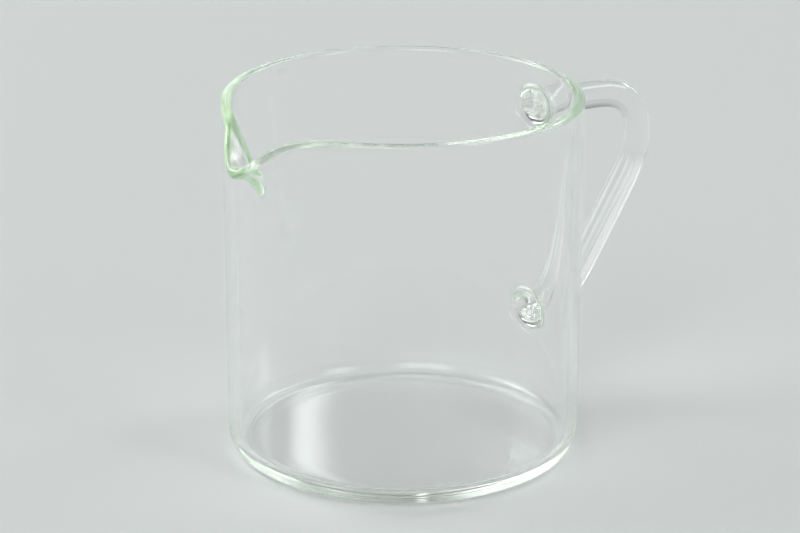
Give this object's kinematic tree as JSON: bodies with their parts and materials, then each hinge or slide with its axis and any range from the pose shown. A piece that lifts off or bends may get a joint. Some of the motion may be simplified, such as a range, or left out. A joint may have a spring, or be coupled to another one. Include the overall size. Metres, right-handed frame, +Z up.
{
  "type": "glass jug",
  "caption": "Clear glass jug: straight round body with a rounded foot, a pulled pouring spout and a rod handle melted on opposite it.",
  "frame": {"origin": "middle of the flat standing face, on the axis of the round body", "axes": "+Z up along the body's axis, +X towards the handle, -X towards the spout, so the XZ plane is the plane of symmetry"},
  "size_m": [0.1385, 0.09, 0.0925],
  "materials": {
    "glass": "clear, colourless, fire-polished"
  },
  "bodies": {
    "root": {"jug": "glass"}
  },
  "joints": []
}
